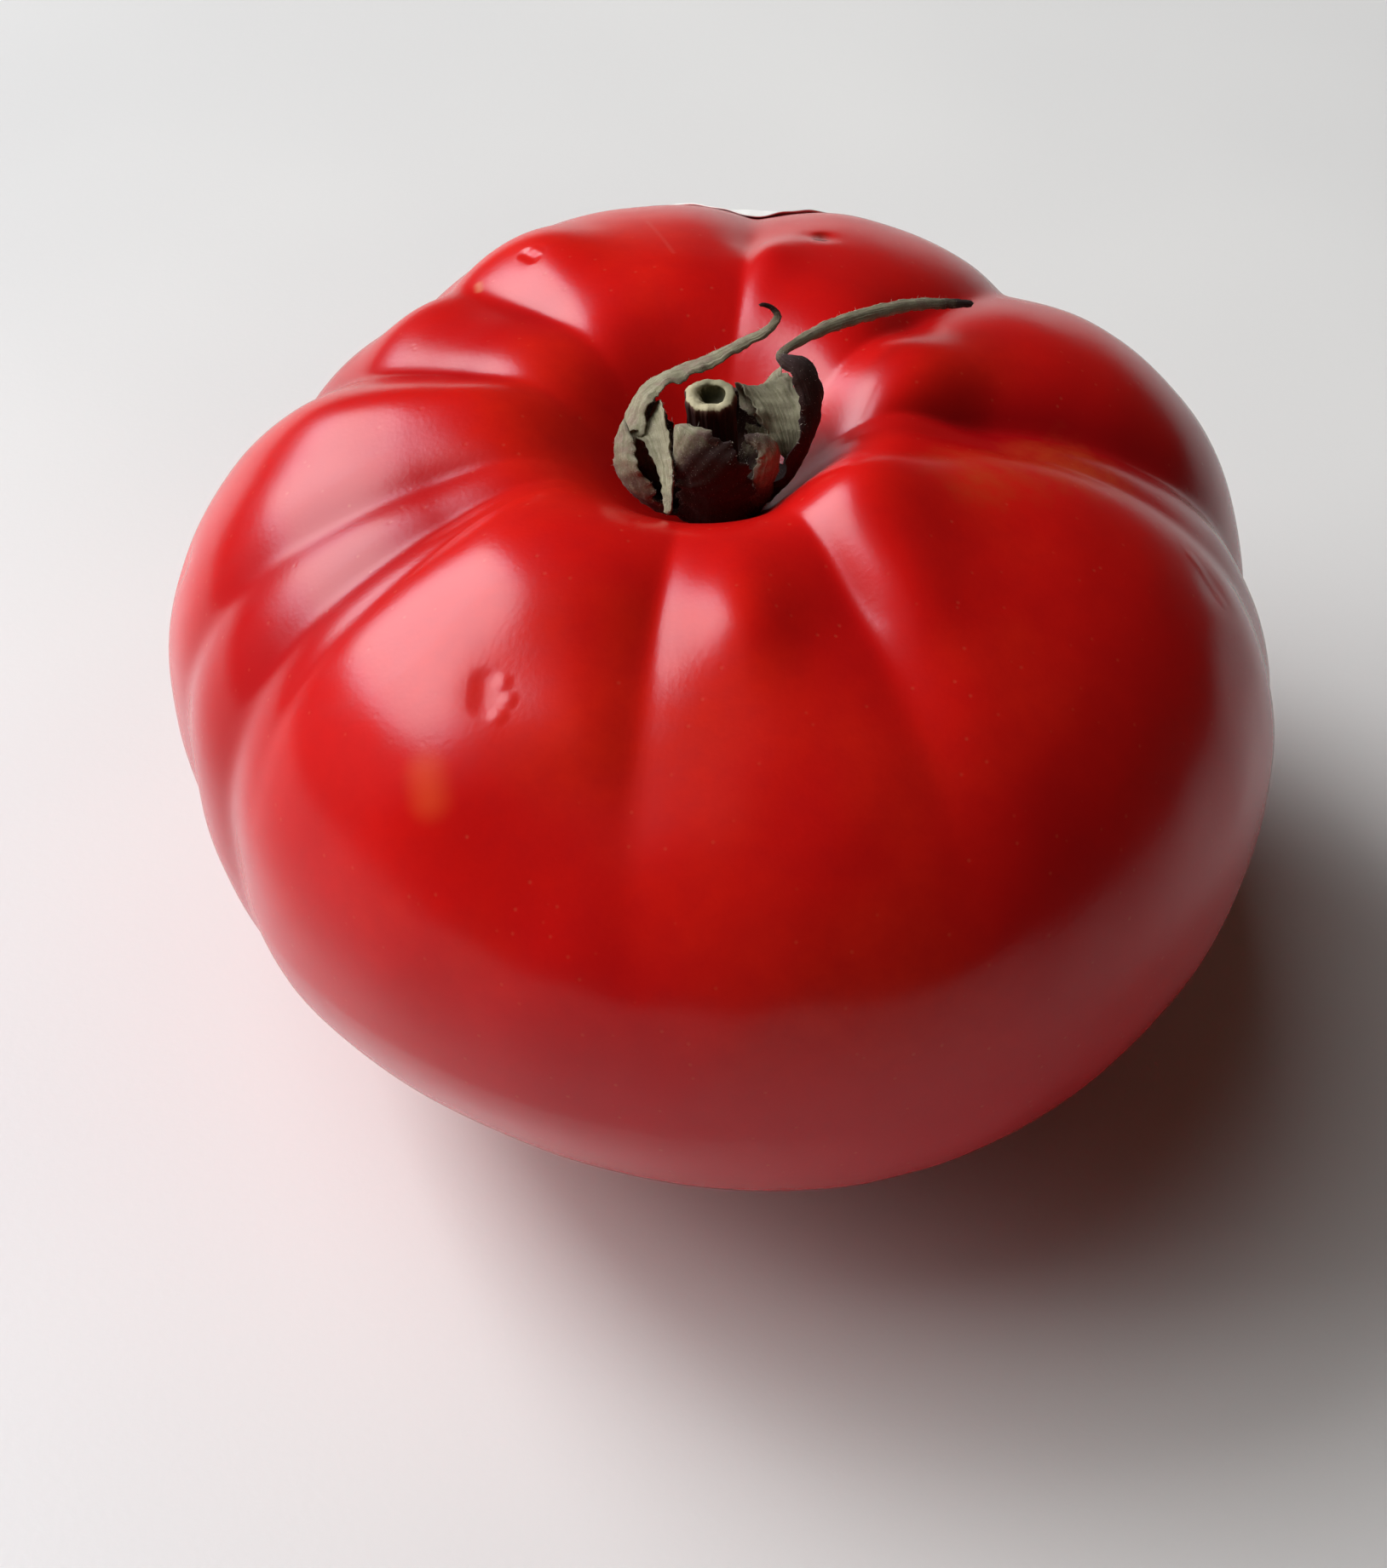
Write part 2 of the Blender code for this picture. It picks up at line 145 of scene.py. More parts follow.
def skin_points(azimuth, polar, deepest_share=1.0):
    """A squared ellipse in height against radius, sunk by a leaning bell at the stem end, its radius
    waved and stretched in plan and its upper half shifted; then drawn in towards the middle by the
    furrow depth, and set down on the flat spot."""
    turn, down = np.radians(azimuth), np.radians(polar)
    sine, cosine = np.maximum(np.sin(down), 0.0), np.cos(down)
    upper = cosine > 0.0
    radius = HALF_WIDTH * sine ** np.where(upper, SHOULDER_ROUND[0], BASE_ROUND[0])
    height = np.where(upper, SHOULDER_RISE, -WIDEST_HEIGHT)
    height = height * np.abs(cosine) ** np.where(upper, SHOULDER_ROUND[1], BASE_ROUND[1])
    wider = 1.0 + CAVITY_LEAN[0] * np.cos(turn - math.radians(CAVITY_LEAN[1]))
    height = height - upper * CAVITY_DEPTH * np.exp(-((radius / CAVITY_RADIUS / wider) ** CAVITY_POWER))
    plan = 1.0 + sum(share * np.cos(n * (turn - math.radians(at))) for n, share, at in PLAN_WAVES)
    lean = (1.0 + cosine) / 2.0
    point = np.stack(
        np.broadcast_arrays(
            STEM_SHIFT[0] * lean + radius * plan * np.cos(turn),
            STEM_SHIFT[1] * lean + radius * plan * PLAN_STRETCH * np.sin(turn),
            height,
        ),
        axis=-1,
    )
    reach = np.maximum(np.linalg.norm(point, axis=-1, keepdims=True), MM)
    point = point * (1.0 - furrow_depth(azimuth, polar, deepest_share)[..., None] / reach)
    point[..., 2] = np.maximum(point[..., 2] + WIDEST_HEIGHT - FLAT_SPOT_LIFT, 0.0)
    return point


def skin_normals(azimuth, polar):
    """Outward normals: the cross product of the skin's two tangents, from differences of 0.1 degree."""
    east = skin_points(azimuth + 0.1, polar) - skin_points(azimuth - 0.1, polar)
    south = skin_points(azimuth, polar + 0.1) - skin_points(azimuth, polar - 0.1)
    normal = np.cross(south, east)
    return normal / np.maximum(np.linalg.norm(normal, axis=-1, keepdims=True), 1e-12)


def blemished(points):
    """The skin with faint ripples, a sum of sines of place in seeded directions, and with dents, each
    a bell of its depth about its own point. Both push along the line to the middle of the fruit, and
    are eased in above the flat spot."""
    inward = np.array([0.0, 0.0, WIDEST_HEIGHT]) - points
    inward /= np.linalg.norm(inward, axis=-1, keepdims=True)
    draw = np.random.default_rng(11)
    push = np.zeros(points.shape[:-1])
    for wavelength, height in RIPPLES:
        for _ in range(RIPPLES_PER_LENGTH):
            way = draw.normal(size=3)
            way *= 2.0 * math.pi / (wavelength * MM) / np.linalg.norm(way)
            push = push + height * MM * np.sin(points @ way + draw.uniform(0.0, 6.28))
    for azimuth, polar, radius, depth in DENTS:
        centre = skin_points(np.array(azimuth), np.array(polar))
        away = np.linalg.norm(points - centre, axis=-1) / (radius * MM)
        push = push + depth * MM * np.exp(-(away**2))
    push = push * ease(points[..., 2], *BLEMISHED_ABOVE)
    return points + inward * push[..., None]


def pole_to_pole(rows, columns):
    """Quads of a grid that closes round its columns, and a fan at each end. Row by row, then the poles."""
    column = np.arange(columns)
    after = (column + 1) % columns
    row = np.arange(rows - 1)[:, None] * columns
    quads = np.stack([row + column, row + columns + column, row + columns + after, row + after], -1)
    top, bottom, last = rows * columns, rows * columns + 1, (rows - 1) * columns
    fans = [np.stack([np.full(columns, top), column, after], -1)]
    fans.append(np.stack([np.full(columns, bottom), last + after, last + column], -1))
    return quads.reshape(-1, 4), np.vstack(fans)


def smooth_piece(name, points, quads, fans, finish):
    """A smooth-shaded object of these points and faces, with its place in its mesh."""
    mesh = bpy.data.meshes.new(name)
    mesh.from_pydata(points.reshape(-1, 3), [], quads.tolist() + fans.tolist())
    mesh.shade_smooth()
    mesh.materials.append(finish)
    piece = bpy.data.objects.new(name, mesh)
    bpy.context.scene.collection.objects.link(piece)
    return piece


def paint(piece, name, values):
    """A colour attribute of the piece, one row of four numbers for each vertex."""
    layer = piece.data.attributes.new(name, "FLOAT_COLOR", "POINT")
    layer.data.foreach_set("color", np.ascontiguousarray(values, np.float32).ravel())


def feed(tree, node, feeds):
    """Give each named input of a node its value, or the output of another node."""
    for name, value in feeds.items():
        if isinstance(value, bpy.types.NodeSocket):
            tree.links.new(value, node.inputs[name])
        else:
            node.inputs[name].default_value = value


def step(tree, kind, feeds=None, **choices):
    """One node of a finish, with its options and its feeds."""
    made = tree.nodes.new(kind)
    for option, value in choices.items():
        setattr(made, option, value)
    feed(tree, made, feeds or {})
    return made


def new_finish(name):
    """A new material, with its node tree, its shader and the place on the object as a socket."""
    material = bpy.data.materials.new(name)
    material.use_nodes = True
    tree = material.node_tree
    place = step(tree, "ShaderNodeTexCoord").outputs["Object"]
    return material, tree, tree.nodes["Principled BSDF"], place


def noise(tree, place, scale, detail=2.0, roughness=0.5):
    """Noise from 0 to 1 over a place. The scale is in cells to the metre, where the place is in metres."""
    feeds = {"Vector": place, "Scale": scale, "Detail": detail, "Roughness": roughness}
    return step(tree, "ShaderNodeTexNoise", feeds).outputs["Fac"]


def worked(tree, operation, *values):
    """The result of one operation, such as ADD, on numbers or sockets."""
    return step(tree, "ShaderNodeMath", dict(enumerate(values)), operation=operation).outputs[0]


def bumped(tree, height, strength, depth, under=None):
    """A normal tilted by the slope of a height, on top of the normal under it."""
    feeds = {"Height": height, "Strength": strength, "Distance": depth}
    if under is not None:
        feeds["Normal"] = under
    return step(tree, "ShaderNodeBump", feeds).outputs["Normal"]


def bands(tree, share, *stops):
    """A colour that goes in straight lines from stop to stop over share, each a place and a colour."""
    ramp = step(tree, "ShaderNodeValToRGB", {"Fac": share})
    while len(ramp.color_ramp.elements) < len(stops):
        ramp.color_ramp.elements.new(0.5)
    for element, (place, colour) in zip(ramp.color_ramp.elements, stops):
        element.position, element.color = place, (*colour, 1.0)
    return ramp.outputs["Color"]


def tinted(tree, share, under, over):
    """Under x (1 - share) + over x share. Each colour is three numbers or a socket."""
    mix = step(tree, "ShaderNodeMix", data_type="RGBA")
    under, over = (at if isinstance(at, bpy.types.NodeSocket) else (*at, 1.0) for at in (under, over))
    feed(tree, mix, {0: share, 6: under, 7: over})
    return mix.outputs[2]


def spread(tree, value, low, high, to_low=0.0, to_high=1.0):
    """value from low..high moved to to_low..to_high, held at the ends."""
    feeds = {"Value": value, "From Min": low, "From Max": high, "To Min": to_low, "To Max": to_high}
    return step(tree, "ShaderNodeMapRange", feeds).outputs["Result"]


DEEP_RED, RIPE_RED, BRIGHT_RED = (0.53, 0.004, 0.005), (0.64, 0.007, 0.005), (0.72, 0.017, 0.006)
MOTTLE_RED, LOWER_CRIMSON, CREASE_SHADE_RED = (0.50, 0.004, 0.005), (0.56, 0.003, 0.015), (0.42, 0.003, 0.005)
BLUSH_ORANGE, PORE_PINK, CORK_BROWN = (0.60, 0.085, 0.016), (0.78, 0.17, 0.09), (0.30, 0.15, 0.07)
CRIMSON_HEIGHTS = (0.030, 0.056)
ripe, tree, shader, place = new_finish("ripe_skin")
mottle = noise(tree, place, 420.0, 3.0, 0.6)
pores = step(tree, "ShaderNodeTexVoronoi", {"Vector": place, "Scale": 520.0}).outputs["Distance"]
flesh = bands(
    tree, noise(tree, place, 32.0, 3.0, 0.55), (0.30, DEEP_RED), (0.52, RIPE_RED), (0.72, BRIGHT_RED)
)
flesh = tinted(tree, spread(tree, mottle, 0.35, 0.75, 0.0, 0.35), flesh, MOTTLE_RED)
height = step(tree, "ShaderNodeSeparateXYZ", {"Vector": place}).outputs["Z"]
flesh = tinted(tree, spread(tree, height, *CRIMSON_HEIGHTS, 0.75, 0.0), flesh, LOWER_CRIMSON)
# Painted shade: the attribute's first channel darkens the red down in the furrows. Its other two channels
# are the real blush and the real cork specks.
marks_and_crease_shade = step(tree, "ShaderNodeAttribute", attribute_name="ripening_and_crease_shade").outputs["Color"]
crease_shade, blushing, corky = step(tree, "ShaderNodeSeparateColor", {"Color": marks_and_crease_shade}).outputs
# Painted shade: a deeper red down in the furrows.
flesh = tinted(tree, crease_shade, flesh, CREASE_SHADE_RED)
blushing = worked(tree, "MULTIPLY", blushing, mottle)
flesh = tinted(tree, spread(tree, blushing, 0.10, 0.62), flesh, BLUSH_ORANGE)
flesh = tinted(tree, spread(tree, pores, 0.04, 0.11, 0.14, 0.0), flesh, PORE_PINK)
corky = worked(tree, "MULTIPLY", corky, mottle)
flesh = tinted(tree, spread(tree, corky, 0.18, 0.42), flesh, CORK_BROWN)


def beside(tree, place, start, end, radius):
    """1 on the straight line between two places on the skin, eased down to 0 at the radius from it."""
    start, end = (blemished(skin_points(*np.array(at, float))) for at in (start, end))
    run = end - start
    offset = step(tree, "ShaderNodeVectorMath", {0: place, 1: start}, operation="SUBTRACT").outputs[0]
    along = step(tree, "ShaderNodeVectorMath", {0: offset, 1: run / (run @ run)}, operation="DOT_PRODUCT")
    held = spread(tree, along.outputs["Value"], 0.0, 1.0)
    foot = step(tree, "ShaderNodeVectorMath", {0: run, "Scale": held}, operation="SCALE").outputs[0]
    away = step(tree, "ShaderNodeVectorMath", {0: offset, 1: foot}, operation="DISTANCE").outputs["Value"]
    feeds = {"Value": away, "From Max": radius * MM, "To Min": 1.0, "To Max": 0.0}
    return step(tree, "ShaderNodeMapRange", feeds, interpolation_type="SMOOTHSTEP").outputs["Result"]


for start, end, radius, strength, colour in STAINS:
    near = beside(tree, place, start, end, radius)
    flesh = tinted(tree, spread(tree, near, 0.0, 1.0, 0.0, strength), flesh, colour)
scarred = 0.0
for start, end, radius, height in SCARS:
    scarred = worked(tree, "MULTIPLY_ADD", beside(tree, place, start, end, radius), height, scarred)
grain = bumped(tree, scarred, 1.0, MM)
grain = bumped(tree, noise(tree, place, 2300.0), 0.35, 0.03 * MM, grain)
grain = bumped(tree, spread(tree, pores, 0.0, 0.16), 0.3, 0.03 * MM, grain)
feeds = {"Base Color": flesh, "Roughness": spread(tree, mottle, 0.3, 0.8, 0.215, 0.265), "Normal": grain}
feeds |= {"IOR": 1.34, "Subsurface Weight": 0.10, "Subsurface Scale": 3.0 * MM}
feeds |= {"Subsurface Radius": (1.0, 0.18, 0.08)}
feed(tree, shader, feeds)

# Rows draw together towards the stem end; the last row before each pole is half a step away.
ROW_CROWDING = 0.6
down = math.pi * (np.arange(SKIN_ROWS) + 0.5) / SKIN_ROWS
down = down - ROW_CROWDING * np.sin(down) * (1.0 + np.cos(down)) / 2.0
polar, azimuth = np.meshgrid(
    np.degrees(down), np.linspace(0.0, 360.0, SKIN_COLUMNS, endpoint=False), indexing="ij"
)
skin = blemished(skin_points(azimuth, polar)).reshape(-1, 3)
poles = blemished(skin_points(np.array([0.0, 0.0]), np.array([0.0, 180.0])))
fruit = smooth_piece("fruit_skin", np.vstack([skin, poles]), *pole_to_pole(SKIN_ROWS, SKIN_COLUMNS), ripe)

BLUSHES = (
    # azimuth, polar, radius mm, strength: where the skin stayed orange or greenish
    (342.8, 20.9, 7.0, 0.40),
    (359.0, 35.0, 6.5, 0.55),
    (59.5, 52.8, 5.0, 0.5),
    (40.0, 55.1, 5.0, 0.6),
    (300.0, 118.0, 10.0, 0.35),
    (120.0, 112.0, 9.0, 0.4),
)
CORKS = (
    # azimuth, polar, radius mm, strength: dry, healed specks
    (0.0, 180.0, 5.5, 1.2),
)


def patches(table):
    """Sum over a table of strength x e^-(distance from its point over its radius, squared)."""
    points = np.vstack([skin, poles])
    total = np.zeros(len(points))
    for at, low, radius, strength in table:
        centre = skin_points(np.array(at), np.array(low))
        total = total + strength * np.exp(-((np.linalg.norm(points - centre, axis=1) / radius / MM) ** 2))
    return total


# Painted shade in the furrows: the red darkens by the square of each furrow's depth and is full at the
# crease shade depth. It shares the colour attribute with the real blush and cork specks.
CREASE_SHADE_STRENGTH, CREASE_SHADE_DEPTH = 0.55, 3.0 * MM
crease_shade = np.append(np.maximum(furrow_depth(azimuth, polar).ravel(), 0.0) / CREASE_SHADE_DEPTH, [0.0, 0.0])
ripening_and_crease_shade = np.column_stack(
    [CREASE_SHADE_STRENGTH * crease_shade**2, patches(BLUSHES), patches(CORKS), np.ones(len(crease_shade))]
)
paint(fruit, "ripening_and_crease_shade", np.clip(ripening_and_crease_shade, 0.0, 1.0))
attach(fruit, "root")
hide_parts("fruit")

# The calyx: nine sepals, dried, curled and twisted, grown out of a cup round the stalk. Dull, ribbed
# and finely haired, grey-green where they are still soft and nearly black where they have shrivelled.
# Their dark is partly painted shade, laid on the blades and parts of blades that lie in shade: behind
# the stalk, low in the cup and on their shaded backs.
STEM_FLOOR = skin_points(np.array(0.0), np.array(0.0))
BLADE_THICKNESS, BLADE_CURL, STREAK_LENGTH = 0.42 * MM, 0.35, 12.0  # the last in mm
THINNEST_SHARE, FACE_POWER, CRUMPLE_POWER, ROOT_POINT = 0.35, 0.7, 1.5, 0.3
EDGE_JAGS = (((0.07, 3.1), (0.05, 7.3)), ((0.07, 2.7), (0.05, 6.1)))  # each edge: share of width, per mm
RIB_HEIGHT, RIBS = 0.045, 6.0
CRUMPLES = ((0.10, 2.1, 3.0), (0.035, 5.3, -4.0))  # height, turning along per mm and across
BLADE_STATIONS, BLADE_SPOKES = 96, 44
SEPALS = {
    # midrib from root to tip: azimuth, radius mm, height mm, half width mm, turn, withering and painted
    # shade
    "long_left": (
        (184, 3.6, 2.2, 1.7, 0, 0.75),
        (188, 6.9, 4.4, 2.6, 0, 0.55),
        (189, 8.3, 7.6, 2.8, 0, 0.30),
        (183, 7.7, 10.6, 2.4, 0, 0.15),
        (166, 6.3, 12.7, 2.0, 0, 0.12),
        (136, 4.4, 13.5, 1.5, 10, 0.20),
        (98, 3.8, 14.2, 1.0, 20, 0.18),
        (68, 5.0, 15.1, 0.65, 30, 0.22),
        (55, 6.4, 15.7, 0.5, 40, 0.25),
        (50, 7.5, 16.8, 0.42, 40, 0.45),
        (54, 7.5, 17.6, 0.33, 40, 0.85),
        (60, 7.0, 17.9, 0.22, 40, 1.0),
    ),
    "short_left": (
        (212, 3.6, 2.2, 1.8, 0, 0.8),
        (213, 7.1, 4.6, 2.8, 0, 0.70),
        (212, 9.2, 7.6, 2.9, 0, 0.50),
        (206, 9.3, 10.0, 2.1, 0, 0.28),
        (198, 8.4, 11.6, 0.7, 0, 0.25),
    ),
    "left_front": (
        (215, 3.6, 2.2, 1.5, 0, 0.7),
        (202, 5.5, 6.0, 1.8, 50, 0.5),
        (192, 6.0, 9.6, 1.9, 110, 0.3),
        (192, 5.7, 11.2, 1.8, 138, 0.12),
        (205, 5.7, 11.3, 1.6, 143, 0.08),
        (228, 6.7, 10.6, 1.0, 143, 0.08),
        (242, 8.6, 9.7, 0.65, 143, 0.12),
        (248.5, 11.0, 8.7, 0.4, 143, 0.30),
    ),
    "broad_front": (
        (266, 3.6, 2.2, 2.2, 0, 1.0),
        (268, 6.3, 4.4, 2.9, 0, 1.0),
        (269, 7.1, 7.0, 3.1, 0, 1.0),
        (265, 7.6, 9.8, 3.1, 0, 1.0),
        (255, 7.1, 11.6, 2.5, 0, 0.80),
        (245, 6.4, 12.5, 1.8, 0, 0.35),
        (237, 5.9, 12.9, 1.0, 0, 0.15),
        (232, 5.6, 12.9, 0.4, 0, 0.25),
    ),
    "front_right": (
        (300, 3.6, 2.2, 1.4, 0, 0.9),
        (304, 6.0, 4.9, 1.4, 0, 0.80),
        (308, 6.9, 8.8, 1.3, 0, 0.30),
        (311, 6.8, 10.8, 1.15, 0, 0.15),
        (307, 6.0, 11.8, 0.8, 0, 0.50),
        (300, 5.1, 12.0, 0.45, 0, 0.70),
    ),
    "long_right": (
        (342, 3.6, 2.2, 2.1, 0, 1.0),
        (343, 6.2, 5.4, 2.9, 0, 1.0),
        (348, 7.7, 8.8, 2.6, 0, 1.0),
        (357, 8.3, 11.2, 1.8, -20, 1.0),
        (5, 8.0, 13.4, 1.5, -40, 1.0),
        (14, 7.2, 14.8, 1.2, -50, 0.95),
        (24, 6.3, 15.0, 0.8, -40, 0.85),
        (36, 6.5, 14.6, 0.4, -20, 0.35),
        (39, 8.9, 14.7, 0.45, 0, 0.20),
        (39.4, 12.4, 14.7, 0.6, 0, 0.12),
        (39.8, 17.2, 13.9, 0.65, 0, 0.15),
        (39.3, 22.1, 12.8, 0.6, 0, 0.22),
        (37.9, 26.0, 11.6, 0.5, 0, 0.60),
        (37.0, 28.2, 10.9, 0.35, 0, 0.95),
    ),
    "broad_right": (
        (36, 3.6, 2.2, 1.7, 0, 0.8),
        (40, 5.8, 6.0, 2.0, 0, 0.5),
        (46, 6.0, 9.5, 2.2, -60, 0.2),
        (44, 5.2, 11.2, 2.2, -133, 0.08),
        (16, 5.2, 10.7, 2.2, -134, 0.05),
        (356, 5.8, 9.3, 1.9, -134, 0.08),
        (349, 6.1, 8.4, 1.4, -135, 0.30),
    ),
    "short_back": (
        (80, 3.6, 2.2, 2.0, 0, 1.0),
        (80, 5.6, 5.0, 2.6, 0, 1.0),
        (78, 6.1, 7.6, 2.8, 0, 1.0),
        (74, 5.6, 9.2, 2.2, 0, 0.9),
        (66, 4.8, 10.2, 0.7, 0, 0.7),
    ),
    "short_back_left": (
        (140, 3.6, 2.2, 1.6, 0, 0.9),
        (140, 6.6, 4.6, 1.8, 0, 0.8),
        (138, 8.2, 7.0, 1.3, 0, 0.7),
        (134, 8.8, 8.6, 0.4, 0, 0.7),
    ),
}


def through(rows, count):
    """Rows resampled evenly on a smooth curve through them: each run between two rows is the cubic
    whose slopes at its ends follow their neighbours."""
    rows = np.vstack([2 * rows[0] - rows[1], rows, 2 * rows[-1] - rows[-2]])
    a, b, c, d = (rows[i : len(rows) - 3 + i, None] for i in range(4))
    s = np.linspace(0.0, 1.0, 16, endpoint=False)[:, None]
    runs = 0.5 * (
        2 * b + (c - a) * s + (2 * a - 5 * b + 4 * c - d) * s**2 + (3 * b - a - 3 * c + d) * s**3
    )
    fine = np.vstack([runs.reshape(-1, rows.shape[1]), rows[-2]])
    along = np.append(0.0, np.cumsum(np.linalg.norm(np.diff(fine[:, :3], axis=0), axis=1)))
    even = np.linspace(0.0, along[-1], count)
    return np.column_stack([np.interp(even, along, column) for column in fine.T])


def sepal(rows, draw):
    """A thin blade along its midrib. At share u across, the middle of the blade is the midrib + u x
    half width x the side vector + (curl x half width x u^2 + ribs + crumples) x the face vector. The
    two faces lie to either side, half a thickness x (1 - u^2)^0.35 away, less where it is narrow. Its
    edges are jagged by sines of the length. Returns the points, the two tips, and the colours of its
    withering and painted shade for both."""
    table = np.array(rows, float)
    turn = np.radians(table[:, 0])
    spine = np.column_stack([table[:, 1] * np.cos(turn), table[:, 1] * np.sin(turn), table[:, 2:]])
    path = through(spine, BLADE_STATIONS)
    middle, half_width, roll, wither_and_shade = path[:, :3], path[:, 3], np.radians(path[:, 4]), path[:, 5]
    ahead = np.gradient(middle, axis=0)
    ahead /= np.linalg.norm(ahead, axis=1, keepdims=True)
    across = np.zeros_like(ahead)
    across[0] = (-math.sin(turn[0]), math.cos(turn[0]), 0.0)
    for i in range(1, len(across)):
        across[i] = across[i - 1] - ahead[i] * across[i - 1].dot(ahead[i])
        across[i] /= np.linalg.norm(across[i])
    inner = np.cross(ahead, across)
    side = across * np.cos(roll)[:, None] + inner * np.sin(roll)[:, None]
    face = np.cross(ahead, side)
    length = np.cumsum(np.linalg.norm(np.gradient(middle, axis=0), axis=1))[:, None]
    round_angle = np.linspace(0.0, 2.0 * math.pi, BLADE_SPOKES, endpoint=False)[None]
    u, lift = np.cos(round_angle), np.sin(round_angle)
    starts = draw.uniform(0.0, 6.28, 5)
    waves = [
        share * np.sin(per_mm * length + start)
        for (share, per_mm), start in zip(EDGE_JAGS[0] + EDGE_JAGS[1], starts)
    ]
    jag = np.where(u > 0.0, waves[0] + waves[1], waves[2] + waves[3])
    wide = half_width[:, None] * (1.0 + jag * np.abs(u) ** 2)
    rib = RIB_HEIGHT * np.cos(RIBS * math.pi * u) * np.minimum(wide, 1.0)
    (high, along, aside), (low, low_along, low_aside) = CRUMPLES
    crumple = high * wide * np.abs(u) ** CRUMPLE_POWER * np.sin(along * length + aside * u + starts[4])
    crumple = crumple + low * np.sin(low_along * length + low_aside * u + starts[0])
    half_thick = BLADE_THICKNESS / MM / 2 * np.minimum(1.0, THINNEST_SHARE + wide) * np.sign(lift)
    shift = BLADE_CURL * wide * u**2 + rib + crumple + half_thick * np.abs(lift) ** FACE_POWER
    points = middle[:, None] + side[:, None] * (wide * u)[..., None] + face[:, None] * shift[..., None]
    tips = np.stack([middle[0] - ahead[0] * ROOT_POINT, middle[-1] + ahead[-1] * half_width[-1]])
    outer = np.where(lift < 0.0, 1.0, 0.0)
    # The first tone is how withered the blade is. It is raised further as painted shade where the blade lies
    # in shade.
    tones = (wither_and_shade[:, None], outer, (u + 1.0) / 2.0, length / STREAK_LENGTH)
    colours = np.stack(np.broadcast_arrays(*tones), -1)
    ends = np.array([[wither_and_shade[0], 0.5, 0.5, 0.0], [wither_and_shade[-1], 0.5, 0.5, 1.0]])
    return points * MM + STEM_FLOOR, tips * MM + STEM_FLOOR, colours, ends


# Sepal colours run from pale dry grey-green through tan and brown to nearly black maroon. The dark end is
# partly painted shade on blades that lie in shade.
DRY_SEPAL, TAN_SEPAL, BROWN_SEPAL = (0.34, 0.315, 0.21), (0.225, 0.195, 0.132), (0.090, 0.050, 0.034)
STREAK_GREEN, BACK_PINK, NAP_CREAM = (0.120, 0.125, 0.055), (0.33, 0.20, 0.17), (0.44, 0.38, 0.31)
SHRIVELLED_AND_SHADED_MAROON, DARK_DOWN, PALE_DOWN = (0.024, 0.007, 0.005), (0.30, 0.25, 0.19), (0.62, 0.56, 0.47)
dried, tree, shader, place = new_finish("dried_sepal")
blade_tones = step(tree, "ShaderNodeAttribute", attribute_name="withering_and_shade")
withered_and_shaded, behind, across = step(tree, "ShaderNodeSeparateColor", {"Color": blade_tones.outputs["Color"]}).outputs
blade_place = step(tree, "ShaderNodeCombineXYZ", {0: across, 1: blade_tones.outputs["Alpha"], 2: behind})
blade_place = step(
    tree, "ShaderNodeVectorMath", {0: blade_place.outputs[0], 1: (9.0, 2.5, 3.0)}, operation="MULTIPLY"
)
streaks = noise(tree, blade_place.outputs[0], 1.6, 4.0)
blotch = noise(tree, place, 900.0, 4.0, 0.65)
fuzz = noise(tree, place, 5200.0)
withered_and_shaded = worked(tree, "ADD", withered_and_shaded, worked(tree, "MULTIPLY_ADD", blotch, 0.9, -0.45))
leaf = bands(tree, withered_and_shaded, (0.02, DRY_SEPAL), (0.30, TAN_SEPAL), (0.70, BROWN_SEPAL))
leaf = tinted(tree, spread(tree, streaks, 0.42, 0.70, 0.0, 0.55), leaf, STREAK_GREEN)
pink = worked(tree, "MULTIPLY", behind, blotch)
leaf = tinted(tree, spread(tree, pink, 0.50, 0.75, 0.0, 0.5), leaf, BACK_PINK)
leaf = tinted(tree, spread(tree, fuzz, 0.55, 0.75, 0.0, 0.35), leaf, NAP_CREAM)
# Nearly black maroon where the blade has shrivelled, and also as painted shade where it lies in shade.
leaf = tinted(tree, spread(tree, withered_and_shaded, 0.40, 0.82, 0.0, 0.95), leaf, SHRIVELLED_AND_SHADED_MAROON)
nap = bumped(tree, fuzz, 0.5, 0.06 * MM, bumped(tree, streaks, 0.6, 0.2 * MM))
feeds = {"Base Color": leaf, "Roughness": spread(tree, streaks, 0.3, 0.7, 0.72, 0.92), "Normal": nap}
feeds |= {"Specular IOR Level": 0.25, "Sheen Weight": 0.06, "Sheen Roughness": 0.5}
feed(tree, shader, feeds)

down_finish, tree, shader, place = new_finish("sepal_down")
hair_colour = bands(tree, noise(tree, place, 700.0), (0.35, DARK_DOWN), (0.65, PALE_DOWN))
feed(tree, shader, {"Base Color": hair_colour, "Roughness": 0.6})

draw = np.random.default_rng(5)
blade_quads, blade_fans = pole_to_pole(BLADE_STATIONS, BLADE_SPOKES)
points, quads, fans, colours, blades = [], [], [], [], []
count = 0
for rows in SEPALS.values():
    grid, tips, tone, end_tone = sepal(rows, draw)
    blades.append(grid)
    points += [grid.reshape(-1, 3), tips]
    colours += [tone.reshape(-1, 4), end_tone]
    quads.append(blade_quads + count)
    fans.append(blade_fans + count)
    count += grid.shape[0] * grid.shape[1] + 2

# The cup: the ring of dry tissue that the sepals grow from, turned about the stalk's axis and wavy
# round it, with the roots of the sepals sunk in it.
CUP_ROWS, CUP_COLUMNS = 24, 120
CUP_SECTION = (3.65, 2.3, 0.62, 1.0)  # middle radius, height, half width and half height, mm
CUP_SLOPE, CUP_WAVES = 0.5, ((9.0, 0.10, 0.0), (23.0, 0.05, 1.0))  # waves: times round, share, start
CUP_TONE = (0.75, 0.5, 0.5, 0.5)


def waves_round(angle, waves):
    """Sum over the waves of share x sin(times round x angle + start)."""
    return sum(share * np.sin(times * angle + start) for times, share, start in waves)


